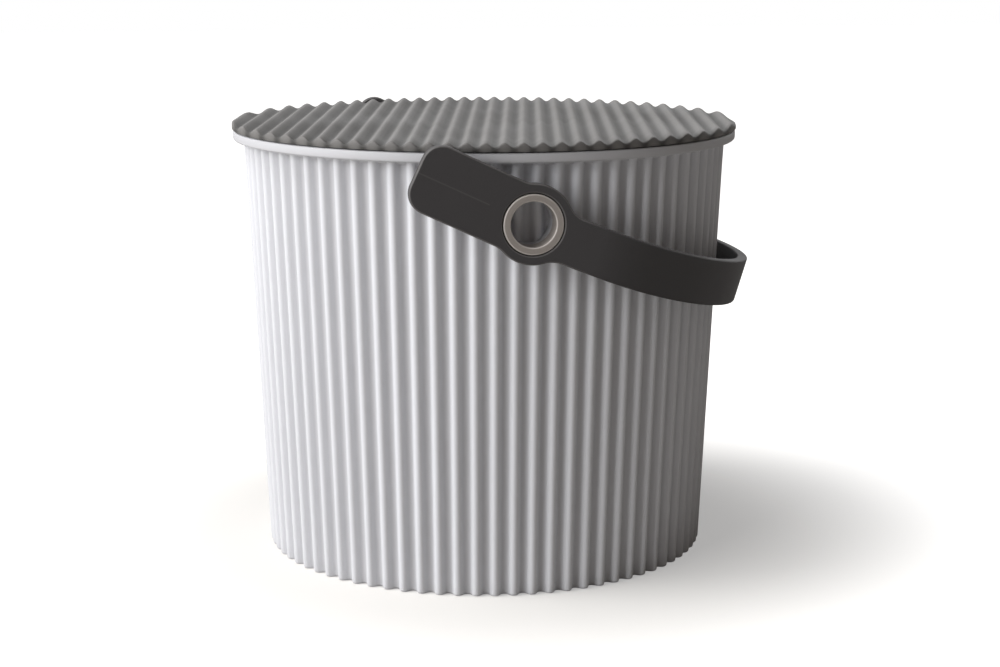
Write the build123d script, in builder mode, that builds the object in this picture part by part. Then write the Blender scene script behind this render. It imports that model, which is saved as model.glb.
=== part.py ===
from build123d import *
from math import cos, degrees, radians, sin
import os

os.makedirs("parts", exist_ok=True)

# Bucket wall: vertical ribs on a gentle taper, up to the underside of the rim
rib_count = 78
rib_depth = 3.7
foot_crest_radius = 125.7
rim_crest_radius = 136.2
wall = 2.0
foot_edge = 1.5

# Rim, mouth, floor and foot
rim_height = 238.0
rim_radius = 142.0
rim_face = 5.2
rim_edge = 0.8
mouth_radius = 134.4
mouth_depth = 7.0
floor_thickness = 2.5
foot_recess_depth = 3.0
foot_recess_radius = 114.0

# Lid: straight corrugations over a flat land, and a skirt inside the mouth
lid_radius = 142.5
lid_gap = 0.6
lid_land = 2.4
lid_panel = 1.9
lid_pitch = 9.5
lid_ridge = 2.4
lid_phase = 3.5
lid_turn = 79.3
skirt_clearance = 0.8
skirt_wall = 1.8
skirt_depth = 6.0

# Handle: a gently bowed strap bail, lowered against the ribs
pivot_drop = 35.0
handle_tilt = 25.2
handle_cant = 17.0
handle_bow = 728.0
handle_reach = 156.2
handle_thickness = 5.6
handle_clearance = 2.8
arm_width = 25.2
arm_straight = 36.0
arm_corner_radius = 68.0
eye_radius = 20.8
eye_blend = 14.0
tab_length = 65.0
tab_width = 35.8
tab_corner = 10.5

# Pivot: a flanged ring goes through each eye into a tubular boss
ring_radius = 15.5
ring_bore = 11.7
ring_flange = 2.4
ring_edge = 0.5
ring_gap = 0.45
flange_gap = 0.2
sleeve_radius = 13.4
sleeve_depth = 5.5
running_clearance = 0.05
press_clearance = 0.02
boss_radius = 17.0
boss_gap = 0.3
boss_root = 24.0

# Shares of a rib's pitch taken by half a crest and by one flank
crest_share = 0.15
flank_share = 0.25

# Heights and distances that follow from the sizes above
rim_bottom = rim_height - rim_face
rib_top = rim_height - mouth_depth
pivot_height = rim_height - pivot_drop
floor_top = foot_recess_depth + floor_thickness
lid_bottom = rim_height + lid_gap
lid_valley = lid_bottom + lid_land
lid_crest = lid_valley + lid_ridge
skirt_outer = mouth_radius - skirt_clearance
eye_inner = lid_radius + handle_clearance
eye_outer = eye_inner + handle_thickness
boss_end = eye_inner - boss_gap
sleeve_end = boss_end - sleeve_depth
flange_seat = eye_outer - ring_flange
band_start = -tab_length - tab_width / 2
bow_turn = degrees((handle_reach + arm_width) / handle_bow)
overshoot = 1.0

pivot = (0, 0, pivot_height)
strap_plane = Plane(pivot).rotated((0, handle_cant, 0))
side_plane = Plane(pivot, x_dir=Plane(pivot).rotated((0, handle_tilt, 0)).x_dir, z_dir=(0, -1, 0))
front_plane = Plane(pivot, x_dir=(1, 0, 0), z_dir=(0, -1, 0))
back_plane = Plane(pivot, x_dir=(-1, 0, 0), z_dir=(0, 1, 0))


def crest_radius(height):
    return foot_crest_radius + (rim_crest_radius - foot_crest_radius) * height / rim_height


# One rib with a crest, a flank, a hollow and a flank, repeated round the wall
def ribbed_outline(crest):
    pitch = 360 / rib_count

    def at(radius, share):
        turn = radians(pitch * share)
        return (radius * cos(turn), radius * sin(turn))

    with BuildLine() as rib:
        Polyline(
            at(crest, -crest_share),
            at(crest, crest_share),
            at(crest - rib_depth, crest_share + flank_share),
            at(crest - rib_depth, 1 - crest_share - flank_share),
            at(crest, 1 - crest_share),
        )
    with BuildLine() as outline:
        with PolarLocations(0, rib_count):
            add(rib.line)
    return outline.edges()


with BuildPart() as bucket_body:
    # Ribbed outside, drawn in at the foot
    for height, inset in ((0, foot_edge), (foot_edge, 0), (rim_bottom, 0)):
        with BuildSketch(Plane.XY.offset(height)):
            make_face(ribbed_outline(crest_radius(height) - inset))
    loft(ruled=True)

    # Smooth rim that stands out over the ribs
    with BuildSketch(Plane.XZ):
        with BuildLine():
            Polyline(
                (0, rim_bottom),
                (rim_radius - rim_edge, rim_bottom),
                (rim_radius, rim_bottom + rim_edge),
                (rim_radius, rim_height - rim_edge),
                (rim_radius - rim_edge, rim_height),
                (0, rim_height),
                close=True,
            )
        make_face()
    revolve(axis=Axis.Z)

    # Tubular pivot bosses, stepped inside to take the rings' sleeves
    for side in (front_plane, back_plane):
        for start, end, bore in (
            (boss_end - boss_root, sleeve_end, ring_bore),
            (sleeve_end, boss_end, sleeve_radius + press_clearance),
        ):
            with BuildSketch(side.offset(start)):
                Circle(boss_radius)
                Circle(bore, mode=Mode.SUBTRACT)
            extrude(amount=end - start)

    # Ribbed inside, smooth mouth and recessed foot
    for height in (floor_top, rib_top):
        with BuildSketch(Plane.XY.offset(height)):
            make_face(ribbed_outline(crest_radius(height) - wall))
    loft(ruled=True, mode=Mode.SUBTRACT)
    with BuildSketch(Plane.XY.offset(rib_top)):
        Circle(mouth_radius)
    extrude(amount=mouth_depth, mode=Mode.SUBTRACT)
    with BuildSketch(Plane.XY):
        Circle(foot_recess_radius)
    extrude(amount=foot_recess_depth, mode=Mode.SUBTRACT)

bucket_body.part.label = "bucket_body"
export_step(bucket_body.part, "parts/bucket_body.step")


with BuildPart() as lid:
    # Straight ridges and valleys, cut to the lid's round outline
    ridge_way = Vector(cos(radians(lid_turn)), sin(radians(lid_turn)), 0)
    across = ridge_way.rotate(Axis.Z, -90)
    skirt_bottom = lid_bottom - skirt_depth
    ridges = int(lid_radius / lid_pitch) + 2
    with BuildSketch(Plane(origin=(0, 0, 0), x_dir=across, z_dir=-ridge_way)):
        with BuildLine():
            for ridge in range(-ridges, ridges):
                centre = lid_phase + ridge * lid_pitch
                Polyline(
                    (centre - crest_share * lid_pitch, lid_crest),
                    (centre + crest_share * lid_pitch, lid_crest),
                    (centre + (crest_share + flank_share) * lid_pitch, lid_valley),
                    (centre + (1 - crest_share - flank_share) * lid_pitch, lid_valley),
                    (centre + (1 - crest_share) * lid_pitch, lid_crest),
                )
            left = lid_phase - (ridges + crest_share) * lid_pitch
            right = lid_phase + (ridges - crest_share) * lid_pitch
            Polyline((left, lid_crest), (left, skirt_bottom), (right, skirt_bottom), (right, lid_crest))
        make_face()
    extrude(amount=ridges * lid_pitch, both=True)
    panel_bottom = lid_valley - lid_panel
    with BuildSketch(Plane.XZ):
        with BuildLine():
            Polyline(
                (0, panel_bottom),
                (skirt_outer - skirt_wall, panel_bottom),
                (skirt_outer - skirt_wall, skirt_bottom),
                (skirt_outer, skirt_bottom),
                (skirt_outer, lid_bottom),
                (lid_radius, lid_bottom),
                (lid_radius, lid_crest + overshoot),
                (0, lid_crest + overshoot),
                close=True,
            )
        make_face()
    revolve(axis=Axis.Z, mode=Mode.INTERSECT)

lid.part.label = "lid"
export_step(lid.part, "parts/lid.step")


# Half of the strap's outline on one side: straight, corner arc, then the flatter arc of the grip
def strap_half(reach, half_span, corner):
    run = reach - arm_straight
    grip = (run**2 + half_span**2 - 2 * half_span * corner) / (2 * (run - corner))
    corner_centre = Vector(arm_straight, half_span - corner)
    grip_centre = Vector(reach - grip, 0)
    join = grip_centre + (corner_centre - grip_centre).normalized() * grip
    return join, grip


with BuildPart() as handle:
    # Strap seen square to its plane
    with BuildSketch(strap_plane):
        for inset, mode in ((0, Mode.ADD), (handle_thickness, Mode.SUBTRACT)):
            reach = handle_reach - inset
            span = eye_outer - inset
            corner = arm_corner_radius - inset
            join, grip = strap_half(reach, span, corner)
            with BuildLine():
                Line((band_start, span), (arm_straight, span))
                RadiusArc((arm_straight, span), (join.X, join.Y), corner)
                RadiusArc((join.X, join.Y), (reach, 0), grip)
                mirror(about=Plane.XZ)
                Line((band_start, -span), (band_start, span))
            make_face(mode=mode)
    extrude(amount=tab_width, both=True)

    # Tab, eye and bowed arm seen from the side
    with BuildSketch(side_plane) as side_outline:
        with Locations((-tab_length / 2, 0)):
            Rectangle(tab_length, tab_width)
        fillet(side_outline.vertices().sort_by(Axis.X)[:2], tab_corner)
        Circle(eye_radius)
        with BuildLine():
            lower = CenterArc((0, handle_bow), handle_bow + arm_width / 2, -90, bow_turn)
            upper = CenterArc((0, handle_bow), handle_bow - arm_width / 2, -90, bow_turn)
            Line(lower @ 0, upper @ 0)
            Line(lower @ 1, upper @ 1)
        make_face()
        fillet(side_outline.vertices().sort_by(Axis.X)[4:8], eye_blend)
    extrude(amount=eye_outer + overshoot, both=True, mode=Mode.INTERSECT)

    # Eye bores, each with a seat for its ring's flange
    with BuildSketch(side_plane):
        Circle(sleeve_radius + running_clearance)
    extrude(amount=eye_outer + overshoot, both=True, mode=Mode.SUBTRACT)
    for seat_plane in (front_plane, back_plane):
        with BuildSketch(seat_plane.offset(flange_seat - flange_gap)):
            Circle(ring_radius + ring_gap)
        extrude(amount=ring_flange + overshoot, mode=Mode.SUBTRACT)

handle.part.label = "handle"
export_step(handle.part, "parts/handle.step")


with BuildPart() as pivot_ring_front:
    with BuildSketch(front_plane.offset(sleeve_end)):
        Circle(sleeve_radius)
    extrude(amount=flange_seat - sleeve_end)
    with BuildSketch(front_plane.offset(flange_seat)):
        Circle(ring_radius)
    extrude(amount=ring_flange)
    chamfer(pivot_ring_front.faces().sort_by(Axis.Y)[0].edges(), ring_edge)
    with BuildSketch(front_plane.offset(sleeve_end)):
        Circle(ring_bore)
    extrude(amount=eye_outer - sleeve_end, mode=Mode.SUBTRACT)
    chamfer(pivot_ring_front.faces().sort_by(Axis.Y)[0].inner_wires().edges(), ring_edge)

pivot_ring_front.part.label = "pivot_ring_front"
export_step(pivot_ring_front.part, "parts/pivot_ring_front.step")

with BuildPart() as pivot_ring_back:
    mirror(pivot_ring_front.part, about=Plane.XZ)

pivot_ring_back.part.label = "pivot_ring_back"
export_step(pivot_ring_back.part, "parts/pivot_ring_back.step")
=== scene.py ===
import math

import bmesh
import bpy
from bmesh.types import BMEdge, BMVert
from mathutils import Matrix, Vector


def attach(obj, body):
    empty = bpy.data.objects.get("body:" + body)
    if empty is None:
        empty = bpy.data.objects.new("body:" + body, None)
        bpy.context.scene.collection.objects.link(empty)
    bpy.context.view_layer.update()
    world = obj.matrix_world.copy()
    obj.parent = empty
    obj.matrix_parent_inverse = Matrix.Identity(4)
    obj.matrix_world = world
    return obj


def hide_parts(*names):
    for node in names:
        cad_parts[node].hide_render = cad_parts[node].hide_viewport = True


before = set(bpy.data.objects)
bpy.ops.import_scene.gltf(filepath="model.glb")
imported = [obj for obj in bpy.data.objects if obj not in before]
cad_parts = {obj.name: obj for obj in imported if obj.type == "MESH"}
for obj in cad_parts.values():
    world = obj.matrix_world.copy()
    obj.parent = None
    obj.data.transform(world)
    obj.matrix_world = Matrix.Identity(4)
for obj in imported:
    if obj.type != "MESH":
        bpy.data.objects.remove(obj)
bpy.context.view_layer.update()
print("frame loaded")

mergeDistance = 0.002  # points nearer than this, in mm, become one
onPlane = 0.01  # points nearer than this to a plane, in mm, lie on it
sharpAngle = 50  # edges that turn by more degrees are shaded sharp


# A piece is modelled in millimetres, closed, and stored in metres on its body
def finishPiece(name, bm, body, nodes):
    bmesh.ops.remove_doubles(bm, verts=bm.verts, dist=mergeDistance)
    bmesh.ops.dissolve_degenerate(bm, edges=bm.edges, dist=mergeDistance / 2)
    bmesh.ops.recalc_face_normals(bm, faces=bm.faces)
    bmesh.ops.scale(bm, vec=(0.001, 0.001, 0.001), verts=bm.verts)
    mesh = bpy.data.meshes.new(name)
    bm.to_mesh(mesh)
    bm.free()
    mesh.shade_smooth()
    mesh.set_sharp_from_angle(angle=math.radians(sharpAngle))
    piece = bpy.data.objects.new(name, mesh)
    bpy.context.scene.collection.objects.link(piece)
    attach(piece, body)
    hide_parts(*nodes)
    print(name, "made,", len(mesh.vertices), "points")
    return piece


def only(kind, made):
    return [item for item in made if isinstance(item, kind)]


def turnAbout(bm, axis, degrees, points=None):
    matrix = Matrix.Rotation(math.radians(degrees), 3, axis)
    bmesh.ops.rotate(bm, cent=(0, 0, 0), matrix=matrix, verts=points or bm.verts)


# Draws rows of (radius, height, mask) in the XZ plane and turns the line once round Z
def turnProfile(bm, rows, steps, maskName, closed=True):
    mask = bm.verts.layers.float.get(maskName) or bm.verts.layers.float.new(maskName)
    points = []
    for radius, height, value in rows:
        point = bm.verts.new((radius, 0, height))
        point[mask] = value
        points.append(point)
    pairs = list(zip(points[-1:] + points[:-1], points))
    edges = [bm.edges.new(pair) for pair in (pairs if closed else pairs[1:])]
    bmesh.ops.spin(
        bm, geom=points + edges, cent=(0, 0, 0), axis=(0, 0, 1), angle=math.tau, steps=steps, use_merge=True
    )


bucket = {
    "ribs": 78,
    "stepsPerRib": 16,
    "ribDepth": 3.7,
    "ribSquareness": 1.1,
    "footCrest": 125.7,
    "rimCrest": 136.2,
    "height": 238.0,
    "wall": 2.0,
    "rimRadius": 142.0,
    "rimBottom": 232.8,
    "mouthRadius": 134.4,
    "ledgeHeight": 231.0,
    "wallHeights": (1.6, 8, 40, 80, 120, 160, 195, 220),
    "ribTops": (
        (0, 2.6, 1), (0.08, 1.7, 1), (0.3, 0.95, 1), (0.75, 0.4, 0.95), (1.5, 0.08, 0.6), (2.6, 0, 0),
    ),
    "insideHeights": (220, 150, 80, 10),
    "floorHeight": 5.5,
    "floorRound": ((2, 0.05), (0.9, 0.4), (0.25, 1.1), (0, 2.2)),
    "floorRings": (117, 60, 0),
    "footRecess": 3.0,
    "footRecessRadius": 114.0,
}


def crestRadius(height):
    return bucket["footCrest"] + (bucket["rimCrest"] - bucket["footCrest"]) * height / bucket["height"]


# 1 on a rib's crest and 0 in a valley, a little squarer than a plain wave
def ribWave(angle):
    swing = math.cos(angle * bucket["ribs"])
    square = bucket["ribSquareness"] ** 2
    return 0.5 + 0.5 * swing * math.sqrt((1 + square) / (1 + square * swing * swing))


# Rows from the foot's middle, up the outside, over the rim and down to the floor's middle
def bucketProfile():
    foot, rim, mouth = bucket["footRecess"], bucket["rimRadius"], bucket["mouthRadius"]
    top, recess, ledge = bucket["height"], bucket["footRecessRadius"], bucket["ledgeHeight"]
    rows = [(0, foot, 0), (60, foot, 0), (recess - 1.2, foot, 0), (recess - 0.4, foot - 0.5, 0)]
    rows += [(recess, foot - 1.2, 0), (recess + 0.2, 0.5, 0), (recess + 0.8, 0, 0), (recess + 4, 0, 0)]
    edge = crestRadius(0)
    rows += [(edge - 1.7, 0, 1), (edge - 1.1, 0.1, 1), (edge - 0.5, 0.4, 1), (edge - 0.12, 0.9, 1)]
    rows += [(crestRadius(height), height, 1) for height in bucket["wallHeights"]]
    under = bucket["rimBottom"]
    rows += [(crestRadius(under) + out, under - drop, depth) for out, drop, depth in bucket["ribTops"]]
    rows += [(rim - 1.1, under, 0), (rim - 0.55, under + 0.15, 0), (rim - 0.15, under + 0.55, 0)]
    rows += [(rim, under + 1.1, 0)]
    rows += [(rim, top - 1, 0), (rim - 0.1, top - 0.55, 0), (rim - 0.35, top - 0.2, 0), (rim - 0.8, top, 0)]
    rows += [(mouth + 0.9, top, 0), (mouth + 0.3, top - 0.2, 0), (mouth, top - 0.8, 0)]
    rows += [(mouth, ledge + 0.5, 0), (mouth - 0.15, ledge + 0.1, 0), (mouth - 0.5, ledge, 0.05)]
    inner = [(ledge - 0.3, 0)] + [(height, 0) for height in bucket["insideHeights"]]
    inner += [(bucket["floorHeight"] + up, inset) for up, inset in bucket["floorRound"]]
    rows += [(crestRadius(height) - bucket["wall"] - inset, height, 1) for height, inset in inner]
    rows += [(radius, bucket["floorHeight"], 0) for radius in bucket["floorRings"]]
    return rows


# Moves each turned point in by the rib's depth there, and keeps the wave for the finish: 1 on a crest, which
# the finish lightens as painted highlight, and 0 in the valleys and on unribbed bands such as the rim, which
# it darkens as painted shade
def pressRibs(bm):
    ribs = bm.verts.layers.float["ribWeight"]
    ridge = bm.verts.layers.float.new("ridge")
    for point in bm.verts:
        wave = ribWave(math.atan2(point.co.y, point.co.x))
        point[ridge] = point[ribs] * wave
        radius = point.co.xy.length
        if point[ribs] and radius:
            point.co.xy *= 1 - bucket["ribDepth"] * point[ribs] * (1 - wave) / radius


boss = {
    "height": 203.0,
    "root": 120.0,
    "end": 145.0,
    "sleeveEnd": 139.5,
    "radius": 17.0,
    "bore": 11.7,
    "sleeveBore": 13.42,
    "steps": 96,
}


# A tubular boss on the front, its root let into the middle of the ribbed wall
def addBoss(bm, facing):
    made = bmesh.new()
    end, step, root = boss["end"], boss["sleeveEnd"], boss["root"]
    outer, bore, sleeveBore = boss["radius"], boss["bore"], boss["sleeveBore"]
    rows = [(bore, root), (outer, root), (outer, end - 0.4), (outer - 0.12, end - 0.12), (outer - 0.4, end)]
    rows += [(sleeveBore + 0.25, end), (sleeveBore, end - 0.25), (sleeveBore, step), (bore, step)]
    turnProfile(made, [(*row, 0) for row in rows], boss["steps"], "ribWeight")
    # Its ridge mark stays 0, so the finish darkens the whole boss as painted shade
    made.verts.layers.float.new("ridge")
    turnAbout(made, "X", 90)
    bmesh.ops.translate(made, vec=(0, 0, boss["height"]), verts=made.verts)
    for point in made.verts:
        if abs(point.co.y + root) < onPlane:
            across = math.atan2(-point.co.x, -crestRadius(point.co.z)) + math.pi
            middle = crestRadius(point.co.z) - bucket["wall"] / 2
            depth = middle - bucket["ribDepth"] * (1 - ribWave(across - math.pi / 2))
            point.co.y = -math.sqrt(depth * depth - point.co.x * point.co.x)
    bmesh.ops.scale(made, vec=(1, facing, 1), verts=made.verts)
    bmesh.ops.recalc_face_normals(made, faces=made.faces)
    mesh = bpy.data.meshes.new("boss")
    made.to_mesh(mesh)
    made.free()
    bm.from_mesh(mesh)
    bpy.data.meshes.remove(mesh)


def buildBucket():
    bm = bmesh.new()
    turnProfile(bm, bucketProfile(), bucket["ribs"] * bucket["stepsPerRib"], "ribWeight", closed=False)
    pressRibs(bm)
    for facing in (1, -1):
        addBoss(bm, facing)
    return bm


bucketPiece = finishPiece("ribbedBucket", buildBucket(), "bucket", ["bucket_body"])


lid = {
    "radius": 142.5,
    "bottom": 238.6,
    "valley": 241.0,
    "ridge": 2.4,
    "pitch": 9.5,
    "phase": 3.5,
    "turn": 79.3,
    "columns": 360,
    "rows": 14,
    "edgeRound": ((1.1, 0), (0.65, 0.1), (0.3, 0.32), (0.08, 0.62), (0, 1.0)),
    "endInset": 0.05,
    "panelBottom": 239.1,
    "skirtRadius": 133.6,
    "skirtWall": 1.8,
    "skirtBottom": 232.6,
}


# Height of the lid's straight ridges at a distance across them
def ridgeHeight(across):
    swing = math.cos(math.tau * (across - lid["phase"]) / lid["pitch"])
    return lid["valley"] + lid["ridge"] * (0.5 + 0.5 * swing)


def atRadius(co, radius, height):
    flat = co.xy.normalized() * radius
    return (flat.x, flat.y, height)


# Draws the open rim of a sheet out into a new ring of faces and places its points
def growRim(bm, rim, newPlace):
    made = bmesh.ops.extrude_edge_only(bm, edges=rim)["geom"]
    for point in only(BMVert, made):
        point.co = newPlace(point.co)
    return [edge for edge in only(BMEdge, made) if edge.is_boundary]


# The ridged top is a grid drawn into a disc, and the edge, land and skirt grow from its rim
def buildLid():
    bm = bmesh.new()
    ridge = bm.verts.layers.float.new("ridge")
    bmesh.ops.create_grid(bm, x_segments=lid["columns"], y_segments=lid["rows"], size=1)
    disc = lid["radius"] - lid["edgeRound"][0][0]
    for point in bm.verts:
        across = point.co.x * (disc - lid["endInset"])
        along = point.co.y * math.sqrt(disc * disc - across * across)
        point.co = (across, along, ridgeHeight(across))
        # Crests get a ridge mark of 1, which the finish lightens as painted highlight, and valleys 0, which
        # it darkens as painted shade
        point[ridge] = (ridgeHeight(across) - lid["valley"]) / lid["ridge"]
    rim = [edge for edge in bm.edges if edge.is_boundary]
    for inset, drop in lid["edgeRound"][1:]:
        rim = growRim(bm, rim, lambda co: atRadius(co, lid["radius"] - inset, ridgeHeight(co.x) - drop))
    bottom, panel = lid["bottom"], lid["panelBottom"]
    outer, inner, end = lid["skirtRadius"], lid["skirtRadius"] - lid["skirtWall"], lid["skirtBottom"]
    for radius, height in (
        (lid["radius"], bottom + 0.25), (lid["radius"] - 0.25, bottom),
        (outer + 0.6, bottom), (outer, bottom - 0.6), (outer, end + 0.5), (outer - 0.4, end),
        (inner + 0.4, end), (inner, end + 0.5), (inner, panel - 0.8), (inner - 0.8, panel),
    ):
        rim = growRim(bm, rim, lambda co: atRadius(co, radius, height))
    bmesh.ops.holes_fill(bm, edges=rim, sides=0)
    turnAbout(bm, "Z", lid["turn"] - 90)
    return bm


lidPiece = finishPiece("corrugatedLid", buildLid(), "lid", ["lid"])


handle = {
    "pivotHeight": 203.0,
    "tilt": 25.2,
    "cant": 17.0,
    "bow": 728.0,
    "reach": 154.8,
    "span": 150.9,
    "thickness": 5.6,
    "armStraight": 36.0,
    "armHalf": 12.6,
    "cornerRadius": 68.0,
    "eyeRadius": 20.8,
    "eyeBlend": 14.0,
    "tabLength": 65.0,
    "tabHalf": 17.9,
    "tabCorner": 10.5,
    "edge": 0.9,
    "seatRadius": 15.95,
    "seatWall": 0.4,
    "seatBack": 0.3,
    "seatFront": 2.6,
    "bore": 13.45,
    "steps": {
        "tabCorner": 12, "tabBlend": 5, "eye": 16, "armBlend": 8, "hole": 36,
        "corner": 18, "grip": 36, "edge": 4, "seat": 72,
    },
}


# A pen for flat outlines: straight to a point, or on round a centre
def lineTo(bm, pen, x, y):
    pen = bmesh.ops.extrude_vert_indiv(bm, verts=[pen])["verts"][0]
    pen.co = (x, y, 0)
    return pen


def arcTo(bm, pen, centre, turn, stepName):
    made = bmesh.ops.spin(
        bm, geom=[pen], cent=(*centre, 0), axis=(0, 0, 1), angle=math.radians(turn),
        steps=handle["steps"][stepName],
    )
    return only(BMVert, made["geom_last"])[0]


# Upper half of the tab, eye and first of the arm, drawn flat about the pivot
def drawSide(bm):
    tab, corner, eye = handle["tabLength"], handle["tabCorner"], handle["eyeRadius"]
    blend, tabHalf, armHalf = handle["eyeBlend"], handle["tabHalf"], handle["armHalf"]
    tabBlend = math.sqrt((eye + blend) ** 2 - (tabHalf + blend) ** 2)
    armBlend = math.sqrt((eye + blend) ** 2 - (armHalf + blend) ** 2)
    tabTurn = math.degrees(math.atan2(tabBlend, tabHalf + blend))
    armTurn = math.degrees(math.atan2(armBlend, armHalf + blend))
    start = bm.verts.new((-tab, 0, 0))
    pen = lineTo(bm, start, -tab, tabHalf - corner)
    pen = arcTo(bm, pen, (corner - tab, tabHalf - corner), -90, "tabCorner")
    pen = lineTo(bm, pen, -tabBlend, tabHalf)
    pen = arcTo(bm, pen, (-tabBlend, tabHalf + blend), tabTurn, "tabBlend")
    pen = arcTo(bm, pen, (0, 0), -tabTurn - armTurn, "eye")
    pen = arcTo(bm, pen, (armBlend, armHalf + blend), armTurn, "armBlend")
    pen = lineTo(bm, pen, handle["armStraight"], armHalf)
    pen = lineTo(bm, pen, handle["armStraight"], 0)
    pen = lineTo(bm, pen, handle["seatRadius"], 0)
    pen = arcTo(bm, pen, (0, 0), 180, "hole")
    bm.edges.new((pen, start))
    bmesh.ops.contextual_create(bm, geom=list(bm.edges))


# Centre of the arm's bow in the strap's plane, as distance along it and height over it
def bowCentre():
    lean = math.radians(handle["tilt"] - handle["cant"])
    return handle["bow"] * math.sin(lean), handle["bow"] * math.cos(lean)


# Height, at a distance along, of the line that lies so far off the bow, and back again
def bowHeight(along, offset):
    centreAlong, centreHeight = bowCentre()
    return centreHeight - math.sqrt((handle["bow"] - offset) ** 2 - (along - centreAlong) ** 2)


def bowOffset(along, height):
    centreAlong, centreHeight = bowCentre()
    return handle["bow"] - math.hypot(centreHeight - height, along - centreAlong)


def mirrorAcross(bm):
    copy = bmesh.ops.duplicate(bm, geom=bm.verts[:] + bm.edges[:] + bm.faces[:])["geom"]
    bmesh.ops.scale(bm, vec=(1, -1, 1), verts=only(BMVert, copy))
    bmesh.ops.remove_doubles(bm, verts=bm.verts, dist=mergeDistance)


# Whether these points all lie where the arm goes on into the corner
def atArmEnd(*points):
    return all(abs(point.co.x - handle["armStraight"]) < onPlane for point in points)


# Tab, eye and first of the arm as a plate, tilted to the arm's bow, with its outline rounded
def buildPlate(bm):
    drawSide(bm)
    mirrorAcross(bm)
    offsets = {point: point.co.y for point in bm.verts if atArmEnd(point)}
    turnAbout(bm, "Z", handle["cant"] - handle["tilt"])
    for point, offset in offsets.items():
        point.co = (handle["armStraight"], bowHeight(handle["armStraight"], offset), 0)
    bmesh.ops.recalc_face_normals(bm, faces=bm.faces)
    thick = bmesh.ops.extrude_face_region(bm, geom=bm.faces[:])["geom"]
    bmesh.ops.translate(bm, vec=(0, 0, handle["thickness"]), verts=only(BMVert, thick))
    bmesh.ops.recalc_face_normals(bm, faces=bm.faces)
    rounded = []
    for edge in bm.edges:
        level = abs(edge.verts[0].co.z - edge.verts[1].co.z) < onPlane
        if level and not atArmEnd(*edge.verts) and edge.calc_face_angle(0) > 1:
            rounded.append(edge)
    made = bmesh.ops.bevel(
        bm, geom=rounded, offset=handle["edge"], offset_type="OFFSET", segments=handle["steps"]["edge"],
        profile=0.5, affect="EDGES", material=-1, clamp_overlap=True,
    )
    # Rounded edges get an edge mark of 1, which the finish lightens as painted highlight
    edgeMask = bm.verts.layers.float["edge"]
    curved = set(made["faces"])
    for point in made["verts"]:
        if all(face in curved for face in point.link_faces):
            point[edgeMask] = 1


# The arm's open end is turned round the corner and along half of the grip
def sweepStrap(bm):
    caps = [face for face in bm.faces if atArmEnd(*face.verts)]
    bmesh.ops.delete(bm, geom=caps, context="FACES")
    section = [edge for edge in bm.edges if edge.is_boundary and atArmEnd(*edge.verts)]
    straight, span, corner = handle["armStraight"], handle["span"], handle["cornerRadius"]
    run = handle["reach"] - straight
    grip = (run * run + span * span - 2 * span * corner) / (2 * (run - corner))
    gripCentre = handle["reach"] - grip
    gripTurn = math.degrees(math.atan2(span - corner, straight - gripCentre))
    for centre, turn, stepName in (
        ((straight, corner - span, 0), 90 - gripTurn, "corner"),
        ((gripCentre, 0, 0), gripTurn, "grip"),
    ):
        points = list({point for edge in section for point in edge.verts})
        made = bmesh.ops.spin(
            bm, geom=points + section, cent=centre, axis=(0, 0, 1), angle=math.radians(turn),
            steps=handle["steps"][stepName],
        )
        section = only(BMEdge, made["geom_last"])
    bmesh.ops.remove_doubles(bm, verts=bm.verts, dist=mergeDistance)
    for point in bm.verts:
        if point.co.x > straight:
            point.co.z = bowHeight(point.co.x, bowOffset(straight, point.co.z))


# The seat that a ring's flange sits on, inside each eye
def addSeat(bm, side):
    inner = handle["span"] - handle["thickness"] + handle["seatBack"]
    outer = handle["span"] - handle["seatFront"]
    bore, wide = handle["bore"], handle["seatRadius"] + handle["seatWall"]
    before = set(bm.verts)
    rows = [(bore, inner, 0), (wide, inner, 0), (wide, outer, 0), (bore, outer, 0)]
    turnProfile(bm, rows, handle["steps"]["seat"], "edge")
    turnAbout(bm, "X", 90 * side, [point for point in bm.verts if point not in before])


def buildHandle():
    bm = bmesh.new()
    bm.verts.layers.float.new("edge")
    buildPlate(bm)
    turnAbout(bm, "X", 90)
    bmesh.ops.translate(bm, vec=(0, handle["thickness"] - handle["span"], 0), verts=bm.verts)
    sweepStrap(bm)
    mirrorAcross(bm)
    for side in (1, -1):
        addSeat(bm, side)
    turnAbout(bm, "Y", handle["cant"])
    bmesh.ops.translate(bm, vec=(0, 0, handle["pivotHeight"]), verts=bm.verts)
    return bm


handlePiece = finishPiece("strapHandle", buildHandle(), "handle", ["handle"])


ring = {
    "radius": 15.5,
    "bore": 11.7,
    "face": 150.9,
    "flange": 2.4,
    "sleeveRadius": 13.4,
    "sleeveEnd": 139.5,
    "steps": 128,
}


# One pivot ring: sleeve, flange and softened edges, turned about the pivot
def buildRing(side):
    bm = bmesh.new()
    outer, bore, face, seat = ring["radius"], ring["bore"], ring["face"], ring["face"] - ring["flange"]
    # The third number marks the softened edges, which the finish lightens as painted highlight
    rows = [
        (bore, ring["sleeveEnd"], 0), (ring["sleeveRadius"], ring["sleeveEnd"], 0),
        (ring["sleeveRadius"], seat, 0), (outer - 0.2, seat, 0), (outer, seat + 0.2, 0),
        (outer, face - 0.6, 0), (outer - 0.06, face - 0.3, 0.7), (outer - 0.25, face - 0.1, 1),
        (outer - 0.55, face - 0.01, 0.7), (outer - 0.9, face, 0), (bore + 0.75, face, 0),
        (bore + 0.4, face - 0.04, 0.7), (bore + 0.15, face - 0.2, 1), (bore + 0.03, face - 0.45, 0.7),
        (bore, face - 0.8, 0),
    ]
    turnProfile(bm, rows, ring["steps"], "edge")
    turnAbout(bm, "X", 90 * side)
    bmesh.ops.translate(bm, vec=(0, 0, boss["height"]), verts=bm.verts)
    return bm


frontRing = finishPiece("frontPivotRing", buildRing(1), "bucket", ["pivot_ring_front"])
backRing = finishPiece("backPivotRing", buildRing(-1), "bucket", ["pivot_ring_back"])


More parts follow.
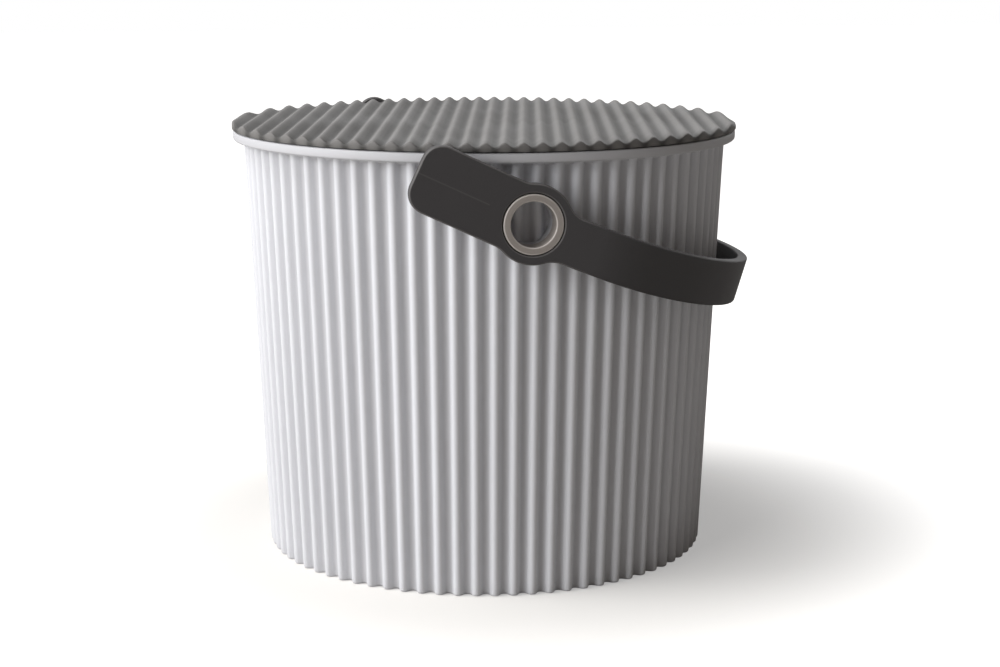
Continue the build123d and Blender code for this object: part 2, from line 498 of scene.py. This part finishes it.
# A node group with its sockets, and a small helper to place nodes
def newGroup(name, inputs, outputs):
    group = bpy.data.node_groups.new(name, "ShaderNodeTree")
    for label, kind, value in inputs:
        socket = group.interface.new_socket(name=label, in_out="INPUT", socket_type="NodeSocket" + kind)
        if value is not None:
            socket.default_value = value
    for label, kind in outputs:
        group.interface.new_socket(name=label, in_out="OUTPUT", socket_type="NodeSocket" + kind)
    return group


def place(tree, kind, x, y, values=None, **settings):
    node = tree.nodes.new(kind)
    node.location = (x, y)
    for name, value in settings.items():
        setattr(node, name, value)
    for name, value in (values or {}).items():
        node.inputs[name].default_value = value
    return node


# Fine moulded grain and a slow drift of tone
def plasticSurface():
    group = newGroup(
        "plasticSurface",
        [("Vector", "Vector", None), ("Grain Scale", "Float", 2600.0), ("Grain Height", "Float", 0.00002),
         ("Drift Scale", "Float", 9.0)],
        [("Grain", "Float"), ("Drift", "Float"), ("Normal", "Vector")],
    )
    start = place(group, "NodeGroupInput", -1100, 0)
    end = place(group, "NodeGroupOutput", 700, 0)
    grain = place(group, "ShaderNodeTexNoise", -700, 300, {"Detail": 3.0, "Roughness": 0.55})
    drift = place(group, "ShaderNodeTexNoise", -700, 0, {"Detail": 4.0, "Roughness": 0.5, "Distortion": 0.4})
    bump = place(group, "ShaderNodeBump", 300, 200, {"Strength": 1.0})
    join = group.links.new
    join(start.outputs["Vector"], grain.inputs["Vector"])
    join(start.outputs["Grain Scale"], grain.inputs["Scale"])
    join(start.outputs["Vector"], drift.inputs["Vector"])
    join(start.outputs["Drift Scale"], drift.inputs["Scale"])
    join(grain.outputs["Fac"], bump.inputs["Height"])
    join(start.outputs["Grain Height"], bump.inputs["Distance"])
    join(grain.outputs["Fac"], end.inputs["Grain"])
    join(drift.outputs["Fac"], end.inputs["Drift"])
    join(bump.outputs["Normal"], end.inputs["Normal"])
    return group


# Tone of a plastic: base colour with drift and grain, lightened by a mask of painted highlight together with
# the handle's seam line, and darkened by a mask of painted shade in the low places
def plasticTone():
    group = newGroup(
        "plasticTone",
        [("Base", "Color", (0.5, 0.5, 0.5, 1)), ("Highlight And Seam", "Color", (0.6, 0.6, 0.6, 1)),
         ("Painted Shade", "Color", (0.4, 0.4, 0.4, 1)), ("Drift", "Float", 0.5), ("Drift Share", "Float", 0.06),
         ("Grain", "Float", 0.5), ("Grain Share", "Float", 0.05),
         ("Highlight And Seam Amount", "Float", 0.0), ("Shade Amount", "Float", 0.0)],
        [("Color", "Color")],
    )
    start = place(group, "NodeGroupInput", -1100, 0)
    end = place(group, "NodeGroupOutput", 900, 0)
    join = group.links.new
    shares = []
    for source, y in (("Drift", 200), ("Grain", -100)):
        ranged = place(group, "ShaderNodeMapRange", -800, y, {"From Min": 0.3, "From Max": 0.7})
        less = place(group, "ShaderNodeMath", -1000, y - 80, {0: 1.0}, operation="SUBTRACT")
        more = place(group, "ShaderNodeMath", -1000, y - 220, {0: 1.0}, operation="ADD")
        join(start.outputs[source + " Share"], less.inputs[1])
        join(start.outputs[source + " Share"], more.inputs[1])
        join(start.outputs[source], ranged.inputs["Value"])
        join(less.outputs[0], ranged.inputs["To Min"])
        join(more.outputs[0], ranged.inputs["To Max"])
        shares.append(ranged)
    both = place(group, "ShaderNodeMath", -550, 50, operation="MULTIPLY")
    toned = place(group, "ShaderNodeVectorMath", -300, 100, operation="SCALE")
    highlightAndSeam = place(group, "ShaderNodeMix", 100, 100, data_type="RGBA")
    shaded = place(group, "ShaderNodeMix", 450, 100, data_type="RGBA")
    join(shares[0].outputs[0], both.inputs[0])
    join(shares[1].outputs[0], both.inputs[1])
    join(start.outputs["Base"], toned.inputs[0])
    join(both.outputs[0], toned.inputs["Scale"])
    join(start.outputs["Highlight And Seam Amount"], highlightAndSeam.inputs["Factor"])
    join(toned.outputs["Vector"], highlightAndSeam.inputs["A"])
    join(start.outputs["Highlight And Seam"], highlightAndSeam.inputs["B"])
    join(start.outputs["Shade Amount"], shaded.inputs["Factor"])
    join(highlightAndSeam.outputs["Result"], shaded.inputs["A"])
    join(start.outputs["Painted Shade"], shaded.inputs["B"])
    join(shaded.outputs["Result"], end.inputs["Color"])
    return group


surfaceGroup = plasticSurface()
toneGroup = plasticTone()


# A colour as a screen names it, from 0 to 255, turned into light
def screenColour(red, green, blue):
    linear = [((part / 255 + 0.055) / 1.055) ** 2.4 for part in (red, green, blue)]
    return (*linear, 1)


# In each finish the second colour is painted highlight on crests or rounded edges, also used for the
# handle's seam line, and the third is painted shade in valleys and on unribbed bands, where its share is
# above 0
finishes = {
    "bucketPlastic": {
        "base": screenColour(205, 206, 211),
        "highlightAndSeam": screenColour(210, 211, 215),
        "paintedShade": screenColour(158, 157, 159),
        "roughness": 0.5, "roughSpread": 0.06, "grainScale": 2400.0, "grainHeight": 0.000018,
        "driftScale": 7.0, "driftShare": 0.018, "grainShare": 0.02, "highlightShare": 0.35, "shadeShare": 0.45,
        "mask": "ridge", "specular": 0.32,
    },
    "lidPlastic": {
        "base": screenColour(91, 90, 89),
        "highlightAndSeam": screenColour(134, 132, 131),
        "paintedShade": screenColour(46, 45, 44),
        "roughness": 0.5, "roughSpread": 0.08, "grainScale": 2200.0, "grainHeight": 0.00003,
        "driftScale": 12.0, "driftShare": 0.04, "grainShare": 0.05, "highlightShare": 0.5, "shadeShare": 0.6,
        "mask": "ridge", "specular": 0.14,
    },
    "handlePlastic": {
        "base": screenColour(57, 55, 56),
        "highlightAndSeam": screenColour(108, 106, 105),
        "paintedShade": screenColour(60, 58, 58),
        "roughness": 0.55, "roughSpread": 0.06, "grainScale": 2000.0, "grainHeight": 0.000025,
        "driftScale": 14.0, "driftShare": 0.05, "grainShare": 0.06, "highlightShare": 0.5, "shadeShare": 0.0,
        "mask": "edge", "specular": 0.3,
        "seam": {"half": 0.0002, "fade": 2.5, "until": -0.0225, "share": 0.16},
    },
    "ringPlastic": {
        "base": screenColour(144, 137, 132),
        "highlightAndSeam": screenColour(200, 195, 191),
        "paintedShade": screenColour(120, 116, 113),
        "roughness": 0.36, "roughSpread": 0.06, "grainScale": 2600.0, "grainHeight": 0.000015,
        "driftScale": 30.0, "driftShare": 0.03, "grainShare": 0.03, "highlightShare": 0.7, "shadeShare": 0.0,
        "mask": "edge", "specular": 0.5,
    },
}


# A faint parting line along the middle of each tab, up to its eye
def addSeam(tree, coords, highlightAndSeam, seam):
    tilt = math.radians(handle["tilt"])
    tabNormal = (math.sin(tilt), 0, math.cos(tilt))
    middle = handle["pivotHeight"] / 1000 * math.cos(tilt)
    across = place(tree, "ShaderNodeVectorMath", -1250, -650, {1: tabNormal}, operation="DOT_PRODUCT")
    off = place(tree, "ShaderNodeMath", -1080, -650, {1: middle}, operation="SUBTRACT")
    near = place(tree, "ShaderNodeMath", -920, -650, operation="ABSOLUTE")
    line = place(tree, "ShaderNodeMapRange", -760, -650, {
        "From Min": seam["half"], "From Max": seam["fade"] * seam["half"],
        "To Min": seam["share"], "To Max": 0.0,
    })
    parts = place(tree, "ShaderNodeSeparateXYZ", -1250, -850)
    onTab = place(tree, "ShaderNodeMath", -1000, -850, {1: seam["until"]}, operation="LESS_THAN")
    kept = place(tree, "ShaderNodeMath", -600, -750, operation="MULTIPLY")
    most = place(tree, "ShaderNodeMath", -600, -550, operation="MAXIMUM")
    join = tree.links.new
    join(coords.outputs["Object"], across.inputs[0])
    join(across.outputs["Value"], off.inputs[0])
    join(off.outputs[0], near.inputs[0])
    join(near.outputs[0], line.inputs["Value"])
    join(coords.outputs["Object"], parts.inputs[0])
    join(parts.outputs["X"], onTab.inputs[0])
    join(line.outputs[0], kept.inputs[0])
    join(onTab.outputs[0], kept.inputs[1])
    join(highlightAndSeam, most.inputs[0])
    join(kept.outputs[0], most.inputs[1])
    return most.outputs[0]


def makePlastic(name):
    finish = finishes[name]
    material = bpy.data.materials.new(name)
    material.use_nodes = True
    tree = material.node_tree
    tree.nodes.clear()
    coords = place(tree, "ShaderNodeTexCoord", -1500, 0)
    mask = place(tree, "ShaderNodeAttribute", -1500, -300, attribute_name=finish["mask"])
    surface = place(tree, "ShaderNodeGroup", -1200, 0, {
        "Grain Scale": finish["grainScale"], "Grain Height": finish["grainHeight"],
        "Drift Scale": finish["driftScale"],
    }, node_tree=surfaceGroup)
    tone = place(tree, "ShaderNodeGroup", -500, 100, {
        "Base": finish["base"], "Highlight And Seam": finish["highlightAndSeam"], "Painted Shade": finish["paintedShade"],
        "Drift Share": finish["driftShare"], "Grain Share": finish["grainShare"],
    }, node_tree=toneGroup)
    # High values of the mask lighten as painted highlight, and low values darken as painted shade
    highlightMask = place(tree, "ShaderNodeMath", -850, -250, {1: finish["highlightShare"]}, operation="MULTIPLY")
    shadeMask = place(tree, "ShaderNodeMapRange", -850, -450, {
        "From Min": 0.45, "From Max": 0.0, "To Max": finish["shadeShare"],
    })
    rough = place(tree, "ShaderNodeMapRange", -500, -300, {
        "From Min": 0.3, "To Min": finish["roughness"] - finish["roughSpread"],
        "From Max": 0.7, "To Max": finish["roughness"] + finish["roughSpread"],
    })
    shader = place(tree, "ShaderNodeBsdfPrincipled", 0, 0, {"Specular IOR Level": finish["specular"]})
    output = place(tree, "ShaderNodeOutputMaterial", 350, 0)
    join = tree.links.new
    join(coords.outputs["Object"], surface.inputs["Vector"])
    join(mask.outputs["Fac"], highlightMask.inputs[0])
    join(mask.outputs["Fac"], shadeMask.inputs["Value"])
    join(surface.outputs["Drift"], tone.inputs["Drift"])
    join(surface.outputs["Grain"], tone.inputs["Grain"])
    highlightAndSeam = highlightMask.outputs[0]
    if "seam" in finish:
        highlightAndSeam = addSeam(tree, coords, highlightAndSeam, finish["seam"])
    join(highlightAndSeam, tone.inputs["Highlight And Seam Amount"])
    join(shadeMask.outputs[0], tone.inputs["Shade Amount"])
    join(surface.outputs["Drift"], rough.inputs["Value"])
    join(tone.outputs["Color"], shader.inputs["Base Color"])
    join(rough.outputs[0], shader.inputs["Roughness"])
    join(surface.outputs["Normal"], shader.inputs["Normal"])
    join(shader.outputs[0], output.inputs["Surface"])
    return material


for piece, finishName in (
    (bucketPiece, "bucketPlastic"),
    (lidPiece, "lidPlastic"),
    (handlePiece, "handlePlastic"),
    (frontRing, "ringPlastic"),
):
    piece.data.materials.append(makePlastic(finishName))
backRing.data.materials.append(frontRing.data.materials[0])
for piece in (handlePiece, frontRing, backRing):
    piece.modifiers.new("evenShading", "WEIGHTED_NORMAL").keep_sharp = True
print("finishes set")


studio = {
    "floorSize": 6.0,
    "floorColour": (0.50, 0.485, 0.462, 1),
    "floorLift": (0.37, 1.0),
    "liftReach": (0.13, 0.34),
    "ambient": (0.103, 0.091, 0.080, 1),
    "aim": (0, 0, 0.12),
    "panels": {
        "keyPanel": {"place": (-1.15, -0.1, 2.05), "size": (1.1, 1.1), "power": 31.0},
        "sidePanel": {"place": (-1.76, -0.6, 0.85), "size": (2.2, 1.3), "power": 46.0},
    },
}


def addPanel(name, panel):
    lamp = bpy.data.lights.new(name, "AREA")
    lamp.shape = "RECTANGLE"
    lamp.size, lamp.size_y = panel["size"]
    lamp.energy = panel["power"]
    holder = bpy.data.objects.new(name, lamp)
    holder.location = panel["place"]
    holder.rotation_euler = (Vector(studio["aim"]) - holder.location).to_track_quat("-Z", "Y").to_euler()
    bpy.context.scene.collection.objects.link(holder)


# The floor keeps the shadow near the bucket and is seen as white further out
def paleFloor():
    material = bpy.data.materials.new("paleFloor")
    material.use_nodes = True
    tree = material.node_tree
    shader = tree.nodes["Principled BSDF"]
    shader.inputs["Base Color"].default_value = studio["floorColour"]
    shader.inputs["Roughness"].default_value = 0.9
    shader.inputs["Specular IOR Level"].default_value = 0.1
    shader.inputs["Emission Color"].default_value = (1, 1, 1, 1)
    coords = place(tree, "ShaderNodeTexCoord", -1000, -200)
    distance = place(tree, "ShaderNodeVectorMath", -800, -200, operation="LENGTH")
    spread = place(tree, "ShaderNodeMapRange", -600, -200, {
        "From Min": studio["liftReach"][0], "From Max": studio["liftReach"][1],
        "To Min": studio["floorLift"][0], "To Max": studio["floorLift"][1],
    }, interpolation_type="SMOOTHSTEP")
    rays = place(tree, "ShaderNodeLightPath", -600, 100)
    lift = place(tree, "ShaderNodeMath", -250, 0, operation="MULTIPLY")
    join = tree.links.new
    join(coords.outputs["Object"], distance.inputs[0])
    join(distance.outputs["Value"], spread.inputs["Value"])
    join(rays.outputs["Is Camera Ray"], lift.inputs[0])
    join(spread.outputs[0], lift.inputs[1])
    join(lift.outputs[0], shader.inputs["Emission Strength"])
    return material


def addFloor():
    bm = bmesh.new()
    bmesh.ops.create_grid(bm, x_segments=1, y_segments=1, size=studio["floorSize"])
    mesh = bpy.data.meshes.new("floor")
    bm.to_mesh(mesh)
    bm.free()
    mesh.materials.append(paleFloor())
    floor = bpy.data.objects.new("floor", mesh)
    bpy.context.scene.collection.objects.link(floor)


# The world is white where it is seen or mirrored, and a soft grey as light
def whiteWorld():
    world = bpy.data.worlds.new("studioWorld")
    world.use_nodes = True
    tree = world.node_tree
    rays = place(tree, "ShaderNodeLightPath", -900, 0)
    seen = place(tree, "ShaderNodeMath", -650, 0, operation="MAXIMUM")
    shown = place(tree, "ShaderNodeMath", -450, 0, operation="MAXIMUM")
    choose = place(tree, "ShaderNodeMix", -250, 0, data_type="RGBA")
    choose.inputs["A"].default_value = studio["ambient"]
    choose.inputs["B"].default_value = (1, 1, 1, 1)
    join = tree.links.new
    join(rays.outputs["Is Camera Ray"], seen.inputs[0])
    join(rays.outputs["Is Glossy Ray"], seen.inputs[1])
    join(seen.outputs[0], shown.inputs[0])
    join(rays.outputs["Is Transmission Ray"], shown.inputs[1])
    join(shown.outputs[0], choose.inputs["Factor"])
    join(choose.outputs["Result"], tree.nodes["Background"].inputs["Color"])
    return world


for name, panel in studio["panels"].items():
    addPanel(name, panel)
addFloor()
bpy.context.scene.world = whiteWorld()
bpy.context.scene.view_settings.view_transform = "Standard"
print("studio set")


view = {"place": (-0.1882, -1.1246, 0.3475), "turn": (78.6, 0, -9.955), "lens": 72.0, "sensor": 36.0}
camera = bpy.data.objects.new("camera", bpy.data.cameras.new("camera"))
camera.data.lens = view["lens"]
camera.data.sensor_width = view["sensor"]
camera.location = view["place"]
camera.rotation_euler = [math.radians(part) for part in view["turn"]]
bpy.context.scene.collection.objects.link(camera)
bpy.context.scene.camera = camera
print("camera set")
